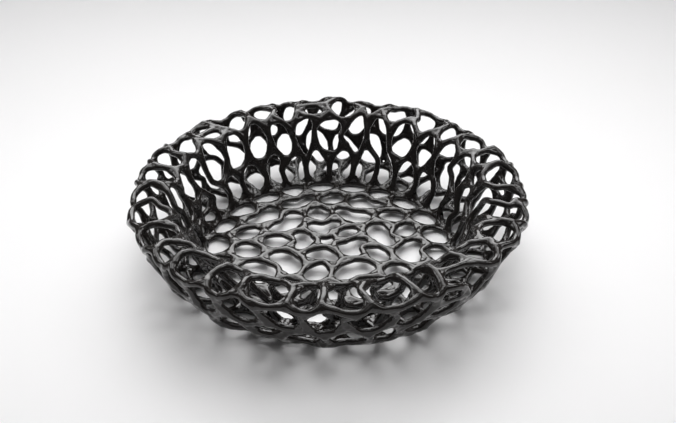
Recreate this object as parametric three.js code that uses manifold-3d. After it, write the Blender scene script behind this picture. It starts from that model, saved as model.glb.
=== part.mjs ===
// An openwork produce basket of bent steel rod, in millimetres, +Z up, standing on the plane z = 0.
//
// The wall is double. Ribs stand side by side round a base ring, and each rib is one bent rod: it climbs the
// inner wall from the top of the base ring, crosses the rim, comes down the outer wall and runs in under the
// basket to the outer side of the same ring. At each line of joints it steps half a place sideways, and a
// short branch rod joins it there to the next rib, so that the ribs and branches enclose uneven six-sided
// cells. Inside the base ring, a floor of concentric wavy rings is joined outwards by spokes of its own.
// Every joint is a weld. The welded faces are kept a small gap apart, so that each piece is its own solid.
import * as THREE from "three";
import { mergeVertices } from "three/addons/utils/BufferGeometryUtils.js";
import Module from "manifold-3d";

// Driving dimensions.
const RIB_COUNT = 32;
const RIB_ROD = { radius: 2.9, sides: 4 }; // the sections stand for round rods of these radii
const BRANCH_ROD = { radius: 2.6, sides: 4 };
const WELD_GAP = 0.3;
const BASE_RING = { radius: 105, height: 5, sides: 6, segments: 32 }; // its underside is a flat
const JOINT_SPREAD = 0.21; // a joint's distance from its line, as a share of the distance between lines
const UNEVEN_ALONG = 0.14; // how far a joint strays along the rib, in the same unit
const UNEVEN_TURN = 0.19; // how far it strays sideways, as a share of the distance between ribs
const UNEVEN_DEPTH = 2; // how far it stands proud of the wall or sinks into it
const MISSING_BRANCHES = 0.1; // share of the branches left out
const CROSS_BRANCHES = 0.12; // share of the cells with one more branch across the middle
const STAGGER = 0.5; // how far ribs step sideways at each line, as a share of the distance between ribs

// The wall's section as (radius, height). Every second point, from the first, is a line of joints: foot of
// the inner wall, middle of the inner wall, lip, outer edge of the rim, middle of the outer wall, corner
// under the outer wall, and base ring again.
const WALL = [
  [105.4, 7],
  [110.8, 17.5],
  [115.8, 31],
  [122, 46.5],
  [130, 61],
  [144.8, 64.6],
  [159.2, 60.6],
  [154.4, 47],
  [148.2, 33.5],
  [142.2, 21],
  [133.4, 10.2],
  [120.5, 5.6],
  [108.5, 3.7],
];
const LINES = (WALL.length - 1) / 2;

// The floor from the outside in. Each ring waves in and out of its mean radius once for each spoke.
const FLOOR_RINGS = [
  { name: "floor_ring_outer", radius: 82, height: 5.4, spokes: 21 },
  { name: "floor_ring_middle", radius: 58, height: 6.6, spokes: 14 },
  { name: "floor_ring_inner", radius: 34, height: 7.4, spokes: 9 },
  { name: "floor_hub", radius: 11, height: 7.8, spokes: 5 },
];
const FLOOR_WAVE = 3.4;
const FLOOR_UNEVEN = 1.4; // how far its bends stray inwards or outwards
const FLOOR_UNEVEN_TURN = 0.18; // how far they stray sideways, as a share of the distance between bends

const wasm = await Module();
wasm.setup();

// Each use of unevenness has a channel of its own. A joint takes three in a row: along, turn and depth.
const CHANNELS = { arrives: 1, leaves: 4, middle: 7, missing: 10, cross: 11, floorTurn: 20, floorRadius: 21 };

// A fixed, uneven number from -1 to 1 for each joint, which stands for the maker's hand: the fraction part of
// a fast, large sine. Its factors mean nothing and only keep neighbours unlike each other.
function uneven(line, place, channel) {
  const wave = Math.sin(12.9898 * place + 78.233 * line + 37.719 * channel) * 43758.5453;
  return 2 * (wave - Math.floor(wave)) - 1;
}

// True for the given share of the joints.
function chosen(share, line, place, channel) {
  return uneven(line, place, channel) > 1 - 2 * share;
}

// A regular section with as much area as the round rod has, so that it weighs the same. Its sides can be
// moved out by `extra`.
function sectionOf(rod, extra) {
  const turn = (2 * Math.PI) / rod.sides;
  const sameArea = Math.sqrt((2 * Math.PI) / (rod.sides * Math.sin(turn)));
  const corner = rod.radius * sameArea + extra / Math.cos(turn / 2);
  const corners = Array.from({ length: rod.sides }, (_, k) => {
    return new THREE.Vector2(corner * Math.cos(k * turn), corner * Math.sin(k * turn));
  });
  return new THREE.Shape(corners);
}

// A line bent at each of its points, which an extrusion follows with one section at each bend.
class BentLine extends THREE.Curve {
  constructor(points) {
    super();
    this.points = points;
  }

  getUtoTmapping(u) {
    return u;
  }

  getPoint(t) {
    const last = this.points.length - 1;
    const k = Math.min(Math.floor(t * last), last - 1);
    return this.points[k].clone().lerp(this.points[k + 1], t * last - k);
  }
}

// A closed line through the points. It ends in the same direction as it begins.
class ClosedLine extends THREE.CatmullRomCurve3 {
  constructor(points) {
    super(points, true);
  }

  getUtoTmapping(u) {
    return u;
  }

  getTangent(t) {
    const step = 1e-4;
    return this.getPoint((t + step) % 1).sub(this.getPoint((t - step + 1) % 1)).normalize();
  }
}

function solidOf(geometry) {
  geometry.deleteAttribute("normal");
  geometry.deleteAttribute("uv");
  const merged = mergeVertices(geometry);
  const mesh = new wasm.Mesh({
    numProp: 3,
    vertProperties: new Float32Array(merged.attributes.position.array),
    triVerts: new Uint32Array(merged.index.array),
  });
  mesh.merge(); // joins what rounding has left apart where a ring's end meets its beginning
  return new wasm.Manifold(mesh);
}

function meshOf(name, solid) {
  const { numProp, vertProperties, triVerts } = solid.getMesh();
  const geometry = new THREE.BufferGeometry();
  geometry.setAttribute("position", new THREE.BufferAttribute(vertProperties, numProp));
  geometry.setIndex(new THREE.BufferAttribute(triVerts, 1));
  geometry.computeVertexNormals();
  const mesh = new THREE.Mesh(geometry, lacquer);
  mesh.name = name;
  return mesh;
}

// An open rod through the points, with flat ends, enlarged all round by `extra`.
function rodThrough(points, rod, extra = 0) {
  const settings = { steps: points.length - 1, extrudePath: new BentLine(points) };
  return solidOf(new THREE.ExtrudeGeometry(sectionOf(rod, extra), settings));
}

// A rod bent into a closed ring. The extrusion's two lids would lie face to face, so only its sides are kept.
function ringThrough(points, rod, extra = 0) {
  const tube = new THREE.ExtrudeGeometry(sectionOf(rod, extra), {
    steps: points.length,
    extrudePath: new ClosedLine(points),
  });
  const [, walls] = tube.groups;
  const corners = tube.attributes.position.array.slice(3 * walls.start, 3 * (walls.start + walls.count));
  const sides = new THREE.BufferGeometry();
  sides.setAttribute("position", new THREE.BufferAttribute(corners, 3));
  return solidOf(sides);
}

// A straight branch from one joint to another, ending as near as it can to the rod that it is welded to.
function branchBetween(from, to, met) {
  const back = from.clone().sub(to).normalize();
  let end = to.clone().addScaledVector(back, RIB_ROD.radius);
  let branch = rodThrough([from, end], BRANCH_ROD);
  while (!branch.intersect(met).isEmpty()) {
    end = end.addScaledVector(back, WELD_GAP);
    branch = rodThrough([from, end], BRANCH_ROD);
  }
  return branch;
}

const wall = new THREE.SplineCurve(WALL.map(([radius, height]) => new THREE.Vector2(radius, height)));

// A point of the wall: so many lines along it, so many ribs round it, and so far out of its surface.
function onWall(along, turn, depth) {
  const t = THREE.MathUtils.clamp(along / LINES, 0, 1);
  const middle = wall.getPoint(t);
  const tangent = wall.getTangent(t);
  const radius = middle.x - depth * tangent.y;
  const angle = (2 * Math.PI * turn) / RIB_COUNT;
  return new THREE.Vector3(radius * Math.cos(angle), radius * Math.sin(angle), middle.y + depth * tangent.x);
}

// A rib's joint. Ribs are staggered: beyond every odd line they stand half a place further round.
function joint(rib, along, row, channel) {
  const place = THREE.MathUtils.euclideanModulo(rib, RIB_COUNT);
  return onWall(
    along + UNEVEN_ALONG * uneven(along, place, channel),
    rib + STAGGER * (row % 2) + UNEVEN_TURN * uneven(along, place, channel + 1),
    UNEVEN_DEPTH * uneven(along, place, channel + 2),
  );
}

// Where a rib reaches a line of joints, where it leaves the line, and the middle of the stretch before.
const arrives = (rib, line) => joint(rib, line - JOINT_SPREAD, line - 1, CHANNELS.arrives);
const leaves = (rib, line) => joint(rib, line + JOINT_SPREAD, line, CHANNELS.leaves);
const middleBefore = (rib, line) => joint(rib, line - 0.5, line - 1, CHANNELS.middle);

function ribPoints(rib) {
  const points = [onWall(0, rib, 0), middleBefore(rib, 1)];
  for (let line = 1; line < LINES; line++) {
    points.push(arrives(rib, line), leaves(rib, line), middleBefore(rib, line + 1));
  }
  points.push(onWall(LINES, rib + STAGGER * ((LINES - 1) % 2), 0));
  return points;
}

function makeRib(rib) {
  let solid = rodThrough(ribPoints(rib), RIB_ROD);
  const enlarged = (other) => rodThrough(ribPoints(other), RIB_ROD, WELD_GAP);
  const sides = { [rib - 1]: enlarged(rib - 1), [rib + 1]: enlarged(rib + 1) };
  for (let line = 1; line < LINES; line++) {
    const next = line % 2 === 1 ? rib + 1 : rib - 1;
    if (!chosen(MISSING_BRANCHES, line, rib, CHANNELS.missing)) {
      solid = solid.add(branchBetween(leaves(rib, line), arrives(next, line), sides[next]));
    }
  }
  for (let line = 1; line <= LINES; line++) {
    if (chosen(CROSS_BRANCHES, line, rib, CHANNELS.cross)) {
      const to = middleBefore(rib + 1, line);
      solid = solid.add(branchBetween(middleBefore(rib, line), to, sides[rib + 1]));
    }
  }
  return solid;
}

// A ring turned from a section with a flat at the bottom, enlarged all round by `extra`.
function baseRing(extra = 0) {
  const corner = (BASE_RING.height / 2 + extra) / Math.cos(Math.PI / BASE_RING.sides);
  const profile = [];
  for (let k = 0; k <= BASE_RING.sides; k++) {
    const angle = (2 * Math.PI * (k % BASE_RING.sides)) / BASE_RING.sides;
    const radius = BASE_RING.radius + corner * Math.cos(angle);
    profile.push(new THREE.Vector2(radius, BASE_RING.height / 2 + corner * Math.sin(angle)));
  }
  const ring = new THREE.LatheGeometry(profile, BASE_RING.segments);
  ring.rotateX(Math.PI / 2);
  return solidOf(ring);
}

// The bends of a floor ring, turning outwards and inwards by turns.
function floorRingPoints(ring, row) {
  return Array.from({ length: 2 * ring.spokes }, (_, k) => {
    const angle = (Math.PI * (k + FLOOR_UNEVEN_TURN * uneven(row, k, CHANNELS.floorTurn))) / ring.spokes;
    const wave = k % 2 === 0 ? FLOOR_WAVE : -FLOOR_WAVE;
    const radius = ring.radius + wave + FLOOR_UNEVEN * uneven(row, k, CHANNELS.floorRadius);
    return new THREE.Vector3(radius * Math.cos(angle), radius * Math.sin(angle), ring.height);
  });
}

// A floor ring with a spoke from each outward bend to the ring round it. The outermost ring's spokes run
// straight out to the base ring, and the others' to the nearest inward bend.
function makeFloorRing(points, around) {
  let solid = ringThrough(points, RIB_ROD);
  for (let k = 0; k < points.length; k += 2) {
    const straightOut = points[k].clone().setZ(0).setLength(BASE_RING.radius).setZ(WALL.at(-1)[1]);
    const bends = around.points.filter((_, index) => index % 2 === 1);
    bends.sort((a, b) => a.distanceTo(points[k]) - b.distanceTo(points[k]));
    solid = solid.add(branchBetween(points[k], bends[0] ?? straightOut, around.enlarged));
  }
  return solid;
}

const lacquer = new THREE.MeshStandardMaterial({ color: "#1b1918", roughness: 0.25, metalness: 0 });
const basket = new THREE.Group();
basket.add(meshOf("base_ring", baseRing()));
for (let rib = 0; rib < RIB_COUNT; rib++) {
  basket.add(meshOf(`rib_${String(rib + 1).padStart(2, "0")}`, makeRib(rib)));
}
let around = { points: [], enlarged: baseRing(WELD_GAP) };
FLOOR_RINGS.forEach((ring, row) => {
  const points = floorRingPoints(ring, row);
  basket.add(meshOf(ring.name, makeFloorRing(points, around)));
  around = { points, enlarged: ringThrough(points, RIB_ROD, WELD_GAP) };
});

export default basket;
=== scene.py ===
"""An openwork produce basket in black gloss lacquer, with the fine surface that its rods and welds have.

Every rod, branch and spoke follows the centreline of the CAD piece that it stands for. The lacquer runs
together at the welds, so the surface of each piece is the zero level of a distance field in which all rods
merge softly, and each piece is cut from it where the next piece begins. The basket's lengths are in
millimetres, and each mesh is scaled to metres when it is made. The studio's lengths are in metres.
"""
import math

import bpy
import numpy as np
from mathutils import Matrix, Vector


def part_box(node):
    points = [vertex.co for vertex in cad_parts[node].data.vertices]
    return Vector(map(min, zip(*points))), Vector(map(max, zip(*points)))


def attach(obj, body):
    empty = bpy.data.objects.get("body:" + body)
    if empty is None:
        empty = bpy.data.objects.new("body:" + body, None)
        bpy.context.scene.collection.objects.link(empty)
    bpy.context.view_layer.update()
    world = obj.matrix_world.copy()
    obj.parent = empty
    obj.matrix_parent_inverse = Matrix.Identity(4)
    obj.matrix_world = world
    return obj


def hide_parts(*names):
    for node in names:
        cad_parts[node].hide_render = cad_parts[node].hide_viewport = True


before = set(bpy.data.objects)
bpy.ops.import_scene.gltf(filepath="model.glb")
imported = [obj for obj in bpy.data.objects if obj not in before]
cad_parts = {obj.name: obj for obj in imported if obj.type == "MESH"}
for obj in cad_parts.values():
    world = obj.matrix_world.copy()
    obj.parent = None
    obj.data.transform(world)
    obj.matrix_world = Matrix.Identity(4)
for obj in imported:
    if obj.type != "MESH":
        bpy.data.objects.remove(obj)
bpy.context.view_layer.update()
MM = 0.001

# The basket's driving dimensions, the same as the CAD model's.
RIB_COUNT = sum(name.startswith("rib_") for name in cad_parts)
JOINT_SPREAD = 0.21  # a joint's distance from its line, as a share of the distance between lines
UNEVEN_ALONG = 0.14  # how far it strays along the rib, as a share of the distance between lines
UNEVEN_TURN = 0.19  # how far it strays sideways, as a share of the distance between ribs
UNEVEN_DEPTH = 2  # how far it stands proud of the wall or sinks into it
MISSING_BRANCHES = 0.1  # about what share of the branches is left out
CROSS_BRANCHES = 0.12  # about what share of the cells has one more branch across the middle
STAGGER = 0.5  # how far ribs step sideways at each line, as a share of the distance between ribs
# Each use of unevenness has a channel of its own. A joint takes three in a row: along, turn and depth.
CHANNELS = {
    "arrives": 1, "leaves": 4, "middle": 7, "missing": 10, "cross": 11, "floor_turn": 20, "floor_radius": 21,
    "web_reach": 30,
}
BASE_RING_RADIUS = 105
# The wall's section as (radius, height). Every second point is on a line, from line 0 at the inner foot.
WALL = np.array([
    (105.4, 7), (110.8, 17.5), (115.8, 31), (122, 46.5), (130, 61), (144.8, 64.6), (159.2, 60.6),
    (154.4, 47), (148.2, 33.5), (142.2, 21), (133.4, 10.2), (120.5, 5.6), (108.5, 3.7),
])
LINES = (len(WALL) - 1) // 2  # the last line, at the outer foot
# The floor from the outside in: name, mean radius, height and count of spokes.
FLOOR_RINGS = (
    ("floor_ring_outer", 82, 5.4, 21),
    ("floor_ring_middle", 58, 6.6, 14),
    ("floor_ring_inner", 34, 7.4, 9),
    ("floor_hub", 11, 7.8, 5),
)
FLOOR_WAVE = 3.4  # how far the rings wave in and out
FLOOR_UNEVEN = 1.4  # how far their bends stray inwards or outwards
FLOOR_UNEVEN_TURN = 0.18  # how far they stray sideways, as a share of the distance between bends

# The finished rods.
RIB_RADIUS = 2.6
BRANCH_RADIUS = 2.45
BASE_ROD_RADIUS = 2.5
WEB_RADIUS = 2.2
WEB_END_RADIUS = 1.3
WEB_REACH = 9  # how far from its joint a web begins, give or take WEB_REACH_UNEVEN
WEB_REACH_UNEVEN = 3
WEB_PULL = 0.14  # how far a web's middle is drawn to the joint
WIDEST_WEB = 158  # the widest angle between arms that has a web, in degrees
WIDEST_WEB_AT_CROSSING = 105  # the same where more than three arms meet
REST_ON_RING = 0.2  # how far above the base ring's middle the rods that come to it end
RING_ARM = 12  # how much of a ring counts as the arm of a joint
MERGE = 0.7  # how softly rods run together
SWELL = 0.16  # how far the lacquer swells and thins
DIP = 1.0  # how far a piece runs on under the next one at a weld
CUT_SLOPE = 0.4  # how fast a piece thins where it runs on

# How the surface is worked out.
# Where a line's points lie between two of its bends, before it is sampled evenly.
STRETCH = np.linspace(0, 1, 8, endpoint=False)
STEP = 1.6  # spacing of a rod's samples
GRID = 0.8  # spacing of the lattice that the surface is drawn from
MARGIN = 3.6  # how far round a rod its distance is worked out
FAR = 9.0  # the distance that stands for further off than that
FAINTEST = 1e-8  # the least sum of rods whose logarithm is taken
TINY = 1e-9  # keeps a division by a length of nothing finite
ROOM = 5  # how far the lattice reaches past the CAD piece's box


def uneven(line, place, channel):
    """The CAD model's uneven number from -1 to 1: the fraction part of a fast, large sine."""
    wave = math.sin(12.9898 * place + 78.233 * line + 37.719 * channel) * 43758.5453
    return 2 * (wave - math.floor(wave)) - 1


def chosen(share, line, place, channel):
    """True for the given share of the joints."""
    return uneven(line, place, channel) > 1 - 2 * share


def spline(before, here, after, beyond, w):
    """The point so far from here to after, on the smooth line through all four."""
    v0, v1 = (after - before) / 2, (beyond - here) / 2
    cubed = 2 * here - 2 * after + v0 + v1
    squared = 3 * after - 3 * here - 2 * v0 - v1
    return cubed * w**3 + squared * w**2 + v0 * w + here


def section(t):
    """The point of the wall's section at t from 0 to 1, on the same spline as the CAD model's."""
    last = len(WALL) - 1
    place = min(max(t, 0), 1) * last
    k = min(int(place), last)
    before, here = WALL[max(k - 1, 0)], WALL[k]
    after, beyond = WALL[min(k + 1, last)], WALL[min(k + 2, last)]
    return spline(before, here, after, beyond, place - k)


def on_wall(along, turn, depth):
    """A point of the wall: so many lines along it, so many ribs round it, and so far out of its surface."""
    t = min(max(along / LINES, 0), 1)
    middle = section(t)
    step = 1e-4
    tangent = section(t + step) - section(t - step)
    tangent /= np.linalg.norm(tangent)
    radius = middle[0] - depth * tangent[1]
    angle = 2 * math.pi * turn / RIB_COUNT
    return np.array([radius * math.cos(angle), radius * math.sin(angle), middle[1] + depth * tangent[0]])


def joint(rib, along, row, channel):
    """A joint as its place on the wall: lines along, ribs round, and depth."""
    place = rib % RIB_COUNT
    return np.array([
        along + UNEVEN_ALONG * uneven(along, place, channel),
        rib + STAGGER * (row % 2) + UNEVEN_TURN * uneven(along, place, channel + 1),
        UNEVEN_DEPTH * uneven(along, place, channel + 2),
    ])


def arrives(rib, line):
    """Where a rib reaches a line of joints."""
    return joint(rib, line - JOINT_SPREAD, line - 1, CHANNELS["arrives"])


def leaves(rib, line):
    """Where a rib leaves a line of joints, after its step sideways."""
    return joint(rib, line + JOINT_SPREAD, line, CHANNELS["leaves"])


def middle_before(rib, line):
    """Where a rib is halfway from the line before to this one."""
    return joint(rib, line - 0.5, line - 1, CHANNELS["middle"])


def next_rib(rib, line):
    """The neighbour that a rib's branch runs to at a line of joints."""
    return rib + 1 if line % 2 == 1 else rib - 1


class Rod:
    """A round rod along a sampled line. The piece that it belongs to is its owner."""

    def __init__(self, owner, points, radius, closed=False):
        self.owner = owner
        self.points = np.asarray(points, float)
        self.radii = np.broadcast_to(radius, len(points)).astype(float)
        self.closed = closed

    def nearest(self, point):
        return int(np.argmin(np.linalg.norm(self.points - point, axis=1)))

    def arms(self, start):
        """The stretches that leave a sample of the rod forwards and backwards."""
        if not self.closed:
            return self.points[start:], self.points[start::-1]
        order = np.arange(len(self.points) - 1)
        count = int(2 * RING_ARM / STEP) + 2
        forwards, backwards = np.roll(order, -start), np.roll(order[::-1], start + 1)
        return self.points[forwards[:count]], self.points[backwards[:count]]


def run_along(points):
    """How far along the broken line each of its points lies."""
    return np.concatenate([[0], np.cumsum(np.linalg.norm(np.diff(points, axis=0), axis=1))])


def sample(points):
    """The broken line through the points, sampled evenly."""
    points = np.asarray(points, float)
    run = run_along(points)
    wanted = np.linspace(0, run[-1], max(int(round(run[-1] / STEP)), 2) + 1)
    return np.column_stack([np.interp(wanted, run, points[:, axis]) for axis in range(3)])


def soften(points, times):
    """Rounds the bends of a sampled line and leaves its ends."""
    points = points.copy()
    for _ in range(times):
        points[1:-1] = (points[:-2] + 2 * points[1:-1] + points[2:]) / 4
    return points


def over_wall(places):
    """A line that follows the wall from place to place."""
    line = []
    for a, b in zip(places[:-1], places[1:]):
        line += [on_wall(*(a + (b - a) * w)) for w in STRETCH]
    return line + [on_wall(*places[-1])]


def round_the_base(turn, height):
    """The point of the base ring so many ribs round, at a height."""
    angle = 2 * math.pi * turn / RIB_COUNT
    return np.array([BASE_RING_RADIUS * math.cos(angle), BASE_RING_RADIUS * math.sin(angle), height])


def at_base_ring(turn):
    """Where a rod that comes to the base ring ends: just above the middle of the ring's rod."""
    return round_the_base(turn, BASE_ROD_RADIUS + REST_ON_RING)


def rib_name(rib):
    return f"rib_{rib % RIB_COUNT + 1:02d}"


def make_ribs():
    """All ribs with their branches, and the joints where three or more arms meet."""
    mains, joints = [], []
    for rib in range(RIB_COUNT):
        places = [np.array([0, rib, 0]), middle_before(rib, 1)]
        for line in range(1, LINES):
            places += [arrives(rib, line), leaves(rib, line), middle_before(rib, line + 1)]
        last_turn = rib + STAGGER * ((LINES - 1) % 2)
        places.append(np.array([LINES, last_turn, 0]))
        line = [at_base_ring(rib)] + over_wall(places) + [at_base_ring(last_turn)]
        mains.append(Rod(rib_name(rib), soften(sample(line), times=2), RIB_RADIUS))
    branches = []
    meeting = {}
    for rib in range(RIB_COUNT):
        pairs = []
        for line in range(1, LINES):
            if not chosen(MISSING_BRANCHES, line, rib, CHANNELS["missing"]):
                pairs.append((leaves(rib, line), next_rib(rib, line), arrives(next_rib(rib, line), line)))
        for line in range(1, LINES + 1):
            if chosen(CROSS_BRANCHES, line, rib, CHANNELS["cross"]):
                pairs.append((middle_before(rib, line), rib + 1, middle_before(rib + 1, line)))
        for start, other, end in pairs:
            branch = Rod(rib_name(rib), sample(over_wall([start, end])), BRANCH_RADIUS)
            branches.append(branch)
            for main, outwards in ((rib, branch.points), (other % RIB_COUNT, branch.points[::-1])):
                at = mains[main].nearest(outwards[0])
                meeting.setdefault((main, at), []).append(outwards)
    for (main, at), arms in meeting.items():
        rod = mains[main]
        joints.append((rod.owner, rod.points[at], [*rod.arms(at), *arms]))
    return mains, branches, joints


def floor_bends(row):
    """The bends of a floor ring, turning outwards and inwards by turns."""
    _, mean, height, spokes = FLOOR_RINGS[row]
    bends = []
    for k in range(2 * spokes):
        angle = math.pi * (k + FLOOR_UNEVEN_TURN * uneven(row, k, CHANNELS["floor_turn"])) / spokes
        wave = FLOOR_WAVE if k % 2 == 0 else -FLOOR_WAVE
        radius = mean + wave + FLOOR_UNEVEN * uneven(row, k, CHANNELS["floor_radius"])
        bends.append(np.array([radius * math.cos(angle), radius * math.sin(angle), height]))
    return bends


def closed_line(bends):
    """A smooth closed line through the bends, sampled evenly. The last sample is the first again."""
    line = []
    for k, here in enumerate(bends):
        before, after, beyond = bends[k - 1], bends[(k + 1) % len(bends)], bends[(k + 2) % len(bends)]
        line += [spline(before, here, after, beyond, w) for w in STRETCH]
    return sample(line + [line[0]])


def make_floor(base):
    """The floor's rings and spokes, from the outside in, and the joints between them."""
    rings, spokes, joints = [base], [], []
    bends_around = None
    for row, (name, _, _, _) in enumerate(FLOOR_RINGS):
        bends = floor_bends(row)
        ring = Rod(name, closed_line(bends), RIB_RADIUS, closed=True)
        around = rings[-1]
        meeting = {}
        for k in range(0, len(bends), 2):
            if bends_around is None:
                angle = math.atan2(bends[k][1], bends[k][0])
                target = at_base_ring(angle * RIB_COUNT / (2 * math.pi))
            else:
                target = min(bends_around[1::2], key=lambda bend: np.linalg.norm(bend - bends[k]))
            spoke = Rod(name, sample([bends[k], target]), BRANCH_RADIUS)
            spokes.append(spoke)
            joints.append((name, bends[k], [*ring.arms(ring.nearest(bends[k])), spoke.points]))
            meeting.setdefault(around.nearest(target), []).append(spoke.points[::-1])
        for at, arms in meeting.items():
            joints.append((around.owner, around.points[at], [*around.arms(at), *arms]))
        rings.append(ring)
        bends_around = bends
    return rings[1:], spokes, joints


def along_arm(arm, length):
    """The point so far along an arm, or not quite halfway where the arm is short."""
    run = run_along(arm)
    length = min(length, 0.45 * run[-1])
    return np.array([np.interp(length, run, arm[:, axis]) for axis in range(3)])


def make_webs(joints):
    """The lacquered weld metal that fills the corners between the arms of a joint."""
    webs = []
    for number, (owner, centre, arms) in enumerate(joints):
        widest = math.radians(WIDEST_WEB if len(arms) == 3 else WIDEST_WEB_AT_CROSSING)
        for a in range(len(arms)):
            for b in range(a):
                stray = uneven(number, a, CHANNELS["web_reach"] + b)
                reach = WEB_REACH + WEB_REACH_UNEVEN * stray
                start, end = along_arm(arms[a], reach), along_arm(arms[b], reach)
                u, v = start - centre, end - centre
                cosine = u @ v / (np.linalg.norm(u) * np.linalg.norm(v) + TINY)
                if math.acos(min(max(cosine, -1), 1)) > widest:
                    continue
                middle = (start + end) / 2 * (1 - WEB_PULL) + centre * WEB_PULL
                webs.append(Rod(owner, [start, middle, end], [WEB_END_RADIUS, WEB_RADIUS, WEB_END_RADIUS]))
    return webs


def make_rods():
    """Every rod of the basket, with the webs at its joints."""
    turns = np.linspace(0, RIB_COUNT, int(2 * math.pi * BASE_RING_RADIUS / STEP) + 1)
    base_points = [round_the_base(turn, BASE_ROD_RADIUS) for turn in turns]
    base = Rod("base_ring", base_points, BASE_ROD_RADIUS, closed=True)
    mains, branches, rib_joints = make_ribs()
    rings, spokes, floor_joints = make_floor(base)
    for main in mains:
        for end, arm in ((0, main.points), (-1, main.points[::-1])):
            at = base.nearest(main.points[end])
            floor_joints.append(("base_ring", base.points[at], [*base.arms(at), arm]))
    return [base, *mains, *branches, *rings, *spokes, *make_webs(rib_joints + floor_joints)]


def box_of(rod):
    """The corners of the box in which a rod's distance is worked out."""
    reach = rod.radii.max() + MARGIN
    return rod.points.min(0) - reach, rod.points.max(0) + reach


def span(axes, low, high):
    """The slices of the lattice between two corners, or None if there are none."""
    slices = []
    for axis, values in enumerate(axes):
        first = int(np.searchsorted(values, low[axis]))
        last = int(np.searchsorted(values, high[axis]))
        if last - first < 1:
            return None
        slices.append(slice(first, last))
    return tuple(slices)


def across(values, axis):
    """The values laid out along one axis of a lattice."""
    return values.reshape([-1 if i == axis else 1 for i in range(3)])


def rod_distance(axes, rod, whole):
    """The distance from the rod's skin over a stretch of the lattice, negative inside it."""
    distance = np.full([s.stop - s.start for s in whole], FAR, np.float32)
    local = [values[s] for values, s in zip(axes, whole)]
    for k in range(len(rod.points) - 1):
        a, b = rod.points[k], rod.points[k + 1]
        reach = max(rod.radii[k], rod.radii[k + 1]) + MARGIN
        part = span(local, np.minimum(a, b) - reach, np.maximum(a, b) + reach)
        if part is None:
            continue
        line = (b - a).astype(np.float32)
        length2 = max(float(line @ line), TINY)
        x, y, z = (across(local[axis][part[axis]] - np.float32(a[axis]), axis) for axis in range(3))
        t = np.clip((x * line[0] + y * line[1] + z * line[2]) / length2, 0, 1)
        apart = np.sqrt((x - t * line[0]) ** 2 + (y - t * line[1]) ** 2 + (z - t * line[2]) ** 2)
        apart -= rod.radii[k] + t * (rod.radii[k + 1] - rod.radii[k])
        np.minimum(distance[part], apart, out=distance[part])
    return distance


def hammered(x, y, z):
    """Slow, slight swellings, as hand-brushed lacquer has, from -1 to 1: waves in several directions."""
    waves = ((0.9, 0.3, 0.5), (-0.4, 0.8, 0.6), (0.5, -0.7, 0.8), (0.2, 0.6, -1.1))  # radians per millimetre
    apart = 1.7  # in phase
    total = 0
    for k, (a, b, c) in enumerate(waves):
        total = total + np.sin(a * x + b * y + c * z + apart * k)
    return total / len(waves)


def piece_field(owner, rods, axes):
    """The distance field of one piece: the merged surface of all rods, cut off where others' begin."""
    shape = [len(values) for values in axes]
    merged = np.zeros(shape, np.float32)
    own = np.full(shape, FAR, np.float32)
    other = np.full(shape, FAR, np.float32)
    for rod in rods:
        whole = span(axes, *box_of(rod))
        if whole is None:
            continue
        distance = rod_distance(axes, rod, whole)
        merged[whole] += np.exp(-distance / MERGE)
        nearest = own if rod.owner == owner else other
        np.minimum(nearest[whole], distance, out=nearest[whole])
    x, y, z = (across(values, axis) for axis, values in enumerate(axes))
    surface = -MERGE * np.log(np.maximum(merged, FAINTEST)) + SWELL * hammered(x, y, z)
    surface = np.maximum(surface, -z)  # nothing reaches below what the basket stands on
    past = own - other
    return np.maximum(surface + CUT_SLOPE * np.maximum(past, 0), past - DIP)


def net(field):
    """The zero level of a field as quads: one corner in each cell that the level crosses."""
    inside = field < 0
    corners = [(i, j, k) for i in (0, 1) for j in (0, 1) for k in (0, 1)]
    size = np.array(field.shape) - 1

    def shifted(values, i, j, k):
        return values[i : i + size[0], j : j + size[1], k : k + size[2]]

    count = sum(shifted(inside, *corner).astype(np.int8) for corner in corners)
    active = (count > 0) & (count < 8)
    cells = np.argwhere(active)
    index = np.full(active.shape, -1, np.int64)
    index[active] = np.arange(len(cells))
    total = np.zeros((len(cells), 3))
    crossings = np.zeros(len(cells))
    for axis in range(3):
        unit = np.eye(3, dtype=int)[axis]
        for corner in corners:
            if corner[axis]:
                continue
            a = cells + corner
            fa = field[tuple(a.T)]
            fb = field[tuple((a + unit).T)]
            crosses = (fa < 0) != (fb < 0)
            t = fa / np.where(crosses, fa - fb, 1)
            total[crosses] += (np.array(corner) + t[:, None] * unit)[crosses]
            crossings[crosses] += 1
    points = cells + total / crossings[:, None]
    quads = []
    for axis in range(3):
        u, v = np.eye(3, dtype=int)[(axis + 1) % 3], np.eye(3, dtype=int)[(axis + 2) % 3]
        unit = np.eye(3, dtype=int)[axis]
        trimmed = tuple(slice(0 if i == axis else 1, -1) for i in range(3))
        beyond = tuple(slice(1, None) if i == axis else slice(1, -1) for i in range(3))
        for into in (True, False):
            starts = (inside[trimmed] == into) & (inside[beyond] == (not into))
            at = np.argwhere(starts) + (1 - unit)
            around = [index[tuple((at - step).T)] for step in (0 * u, u, u + v, v)]
            quads.append(np.stack(around if into else around[::-1], axis=1))
    return points, np.concatenate(quads)


def biggest_part(points, quads):
    """Drops crumbs that aren't connected to the piece."""
    labels = np.arange(len(points))
    while True:
        lowest = labels[quads].min(axis=1)
        new = labels.copy()
        np.minimum.at(new, quads.ravel(), np.repeat(lowest, 4))
        new = new[new]
        if (new == labels).all():
            break
        labels = new
    keep = labels == np.bincount(labels).argmax()
    renumber = np.cumsum(keep) - 1
    return points[keep], renumber[quads[keep[quads[:, 0]]]]


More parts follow.
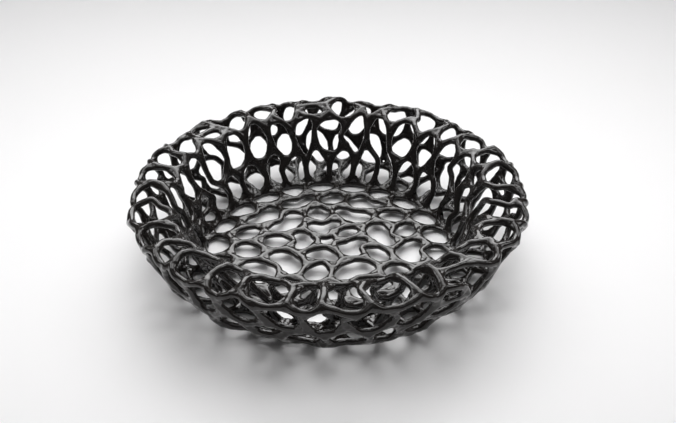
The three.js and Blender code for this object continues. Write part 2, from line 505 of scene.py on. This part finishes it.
def at_points(grid, places):
    """Values of a lattice between its points, by trilinear interpolation."""
    low = np.clip(np.floor(places).astype(int), 0, np.array(grid.shape) - 2)
    w = places - low
    total = 0
    for i in (0, 1):
        for j in (0, 1):
            for k in (0, 1):
                share = abs(1 - i - w[:, 0]) * abs(1 - j - w[:, 1]) * abs(1 - k - w[:, 2])
                total = total + share * grid[low[:, 0] + i, low[:, 1] + j, low[:, 2] + k]
    return total


def settle(points, field):
    """Moves the corners of a net onto the level that it draws."""
    least_slope, longest_move = 0.05, 0.4
    slopes = np.gradient(field)
    for _ in range(2):
        value = at_points(field, points)
        slope = np.stack([at_points(s, points) for s in slopes], axis=1)
        steep = np.maximum((slope**2).sum(axis=1), least_slope)
        move = -slope * (value / steep)[:, None]
        points = points + np.clip(move, -longest_move, longest_move)
    return points


def make_piece(name, rods, material):
    """The finished piece that stands for one CAD node."""
    low, high = (np.array(corner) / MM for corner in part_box(name))
    axes = [
        (np.arange(math.floor((a - ROOM) / GRID), math.ceil((b + ROOM) / GRID) + 1) * GRID).astype(np.float32)
        for a, b in zip(low, high)
    ]
    near = [rod for rod in rods if span(axes, *box_of(rod))]
    field = piece_field(name, near, axes)
    points, quads = net(field)
    points, quads = biggest_part(points, quads)
    points = settle(points, field)
    places = (points * GRID + [values[0] for values in axes]) * MM
    mesh = bpy.data.meshes.new(name)
    mesh.from_pydata(places.tolist(), [], quads.tolist())
    mesh.polygons.foreach_set("use_smooth", np.ones(len(quads), bool))
    mesh.materials.append(material)
    piece = bpy.data.objects.new("lacquered_" + name, mesh)
    bpy.context.collection.objects.link(piece)
    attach(piece, "root")
    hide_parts(name)


def make_lacquer():
    material = bpy.data.materials.new("black_lacquer")
    material.use_nodes = True
    nodes, links = material.node_tree.nodes, material.node_tree.links
    shader = nodes["Principled BSDF"]
    place = nodes.new("ShaderNodeTexCoord")
    shader.inputs["Base Color"].default_value = (0.0135, 0.0108, 0.0095, 1)
    shader.inputs["IOR"].default_value = 1.45
    shader.inputs["Coat Weight"].default_value = 0.35
    shader.inputs["Coat Roughness"].default_value = 0.04

    # The gloss comes and goes where the lacquer is thicker or thinner.
    swell = nodes.new("ShaderNodeTexNoise")
    swell.inputs["Scale"].default_value = 260
    swell.inputs["Detail"].default_value = 3
    links.new(place.outputs["Object"], swell.inputs["Vector"])
    gloss = nodes.new("ShaderNodeMapRange")
    gloss.inputs["From Min"].default_value = 0.3
    gloss.inputs["From Max"].default_value = 0.7
    gloss.inputs["To Min"].default_value = 0.07
    gloss.inputs["To Max"].default_value = 0.19
    links.new(swell.outputs["Fac"], gloss.inputs["Value"])
    links.new(gloss.outputs["Result"], shader.inputs["Roughness"])

    # Fine ripples.
    ripple = nodes.new("ShaderNodeTexNoise")
    ripple.inputs["Scale"].default_value = 420
    ripple.inputs["Detail"].default_value = 2
    links.new(place.outputs["Object"], ripple.inputs["Vector"])
    bump = nodes.new("ShaderNodeBump")
    bump.inputs["Strength"].default_value = 0.2
    bump.inputs["Distance"].default_value = 0.0004
    links.new(ripple.outputs["Fac"], bump.inputs["Height"])
    links.new(bump.outputs["Normal"], shader.inputs["Normal"])
    return material


def make_floor_stage():
    material = bpy.data.materials.new("pale_floor")
    material.use_nodes = True
    shader = material.node_tree.nodes["Principled BSDF"]
    shader.inputs["Base Color"].default_value = (0.86, 0.855, 0.86, 1)
    shader.inputs["Roughness"].default_value = 0.6
    mesh = bpy.data.meshes.new("floor")
    half = 6
    corners = [(-half, -half, 0), (half, -half, 0), (half, half, 0), (-half, half, 0)]
    mesh.from_pydata(corners, [], [(0, 1, 2, 3)])
    mesh.materials.append(material)
    floor = bpy.data.objects.new("studio_floor", mesh)
    bpy.context.collection.objects.link(floor)


def add_light(name, place, aim, size, power, spread=180):
    """A rectangular lamp that faces its aim. Its light keeps within the spread, in degrees."""
    light = bpy.data.lights.new(name, "AREA")
    light.shape = "RECTANGLE"
    light.size, light.size_y = size
    light.energy = power
    light.spread = math.radians(spread)
    lamp = bpy.data.objects.new(name, light)
    lamp.location = place
    lamp.rotation_euler = (Vector(aim) - Vector(place)).to_track_quat("-Z", "Y").to_euler()
    bpy.context.collection.objects.link(lamp)


def make_lights():
    world = bpy.data.worlds.new("studio")
    bpy.context.scene.world = world
    world.use_nodes = True
    sky = world.node_tree.nodes["Background"]
    sky.inputs["Color"].default_value = (1, 0.985, 0.985, 1)
    sky.inputs["Strength"].default_value = 0.1
    near = (0, -0.05, 0)
    add_light("softbox", place=(0, 0.8, 0.8), aim=near, size=(1.4, 0.8), power=4.95, spread=100)
    add_light("back_fill", place=(0, 0.6, 0.85), aim=near, size=(1.4, 0.8), power=0.4)
    add_light("overhead", place=(0, 0.1, 0.9), aim=(0, -0.1, 0), size=(0.9, 0.5), power=0.7, spread=70)
    # The floor further off has lamps of its own, so that it is less dark in the views from other sides.
    far = 2.8
    nudge = 0.001  # a lamp that faced straight down would have no definite turn about its own axis
    for k in range(4):
        x, y = far * math.cos(k * math.pi / 2), far * math.sin(k * math.pi / 2)
        place, aim = (x, y, 2.2), (x, y + nudge, 0)
        add_light(f"far_floor_{k}", place, aim, size=(3, 3), power=26, spread=80)
    for side, x in (("left", -1), ("right", 1)):
        place, aim = (0.9 * x, 0.1, 0.8), (0.15 * x, -0.05, 0)
        add_light(f"side_{side}", place, aim, size=(0.3, 0.6), power=0.35, spread=80)


def make_camera():
    """Looks at a point a little above the floor, from in front and above, with a 50 mm lens."""
    aim = Vector((0.008, 0, 0.038))
    elevation = math.radians(33)
    distance = 0.781
    camera = bpy.data.objects.new("camera", bpy.data.cameras.new("camera"))
    camera.data.lens = 50
    camera.data.sensor_width = 36
    camera.location = aim + distance * Vector((0, -math.cos(elevation), math.sin(elevation)))
    camera.rotation_euler = (aim - camera.location).to_track_quat("-Z", "Y").to_euler()
    bpy.context.collection.objects.link(camera)
    bpy.context.scene.camera = camera


make_camera()
lacquer = make_lacquer()
all_rods = make_rods()
for node_name in sorted(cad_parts):
    make_piece(node_name, all_rods, lacquer)
make_floor_stage()
make_lights()
bpy.context.scene.view_settings.view_transform = "Standard"
